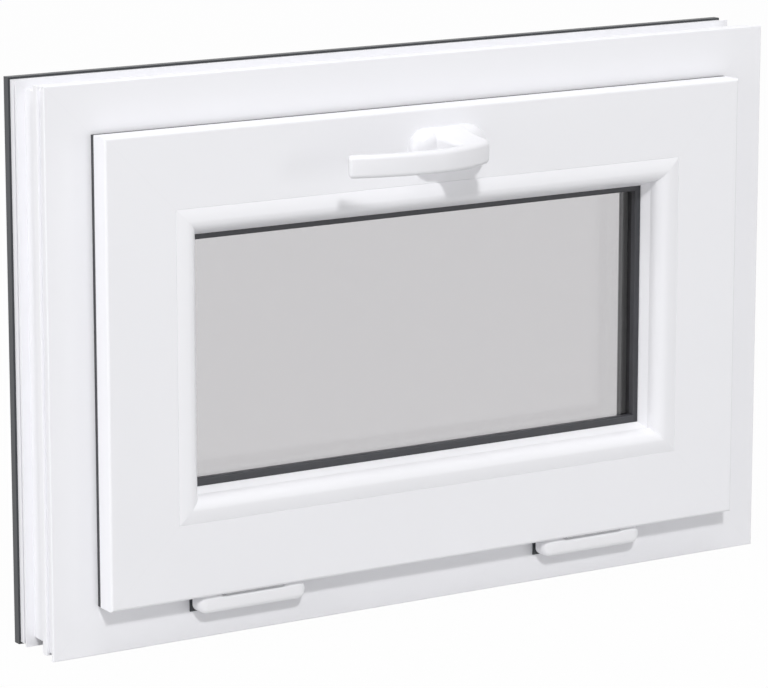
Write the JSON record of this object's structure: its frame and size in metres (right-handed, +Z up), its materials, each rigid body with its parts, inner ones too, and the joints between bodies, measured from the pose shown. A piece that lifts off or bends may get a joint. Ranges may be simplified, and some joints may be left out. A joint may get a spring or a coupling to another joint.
{
  "type": "bottom-hung attic window",
  "caption": "Small white plastic tilt window with a dark outer face, double glazing, a lever handle at the top and covered hinges at the bottom.",
  "frame": {"origin": "middle of the outer cover's lower edge, the flat strip on which the window stands", "axes": "+X to the right seen from the room, +Y towards the weather side, +Z up"},
  "size_m": [0.6, 0.1384, 0.4],
  "materials": {
    "white_profile": "smooth satin white uPVC",
    "dark_cover": "fine-grained anthracite cover",
    "glass": "clear float glass",
    "spacer": "black warm-edge spacer and edge seal",
    "gasket": "smooth dark grey weather seal",
    "handle_white": "white powder coat",
    "hinge_metal": "grey zinc-plated steel",
    "hinge_cover": "satin white moulded cap",
    "steel": "plain steel",
    "dark_plastic": "dark moulded drain cap"
  },
  "bodies": {
    "root": {"drain_cap_left": "dark_plastic", "drain_cap_right": "dark_plastic", "frame_head": "white_profile", "frame_head_cover": "dark_cover", "frame_jamb_left": "white_profile", "frame_jamb_left_cover": "dark_cover", "frame_jamb_right": "white_profile", "frame_jamb_right_cover": "dark_cover", "frame_rebate_gasket": "gasket", "frame_sill": "white_profile", "frame_sill_cover": "dark_cover", "glazing_bead_bottom": "white_profile", "glazing_bead_left": "white_profile", "glazing_bead_right": "white_profile", "glazing_bead_top": "white_profile", "handle_lever": "handle_white", "handle_rosette": "handle_white", "handle_spindle": "steel", "hinge_left_cover": "hinge_cover", "hinge_left_frame_leaf": "hinge_metal", "hinge_left_pin": "steel", "hinge_left_sash_leaf": "hinge_metal", "hinge_right_cover": "hinge_cover", "hinge_right_frame_leaf": "hinge_metal", "hinge_right_pin": "steel", "hinge_right_sash_leaf": "hinge_metal", "inner_glazing_gasket": "gasket", "inner_pane": "glass", "outer_glazing_gasket": "gasket", "outer_pane": "glass", "sash_bottom_rail": "white_profile", "sash_bottom_rail_cover": "dark_cover", "sash_left_stile": "white_profile", "sash_left_stile_cover": "dark_cover", "sash_overlap_gasket": "gasket", "sash_right_stile": "white_profile", "sash_right_stile_cover": "dark_cover", "sash_top_rail": "white_profile", "sash_top_rail_cover": "dark_cover", "spacer_bar": "spacer"}
  },
  "joints": []
}
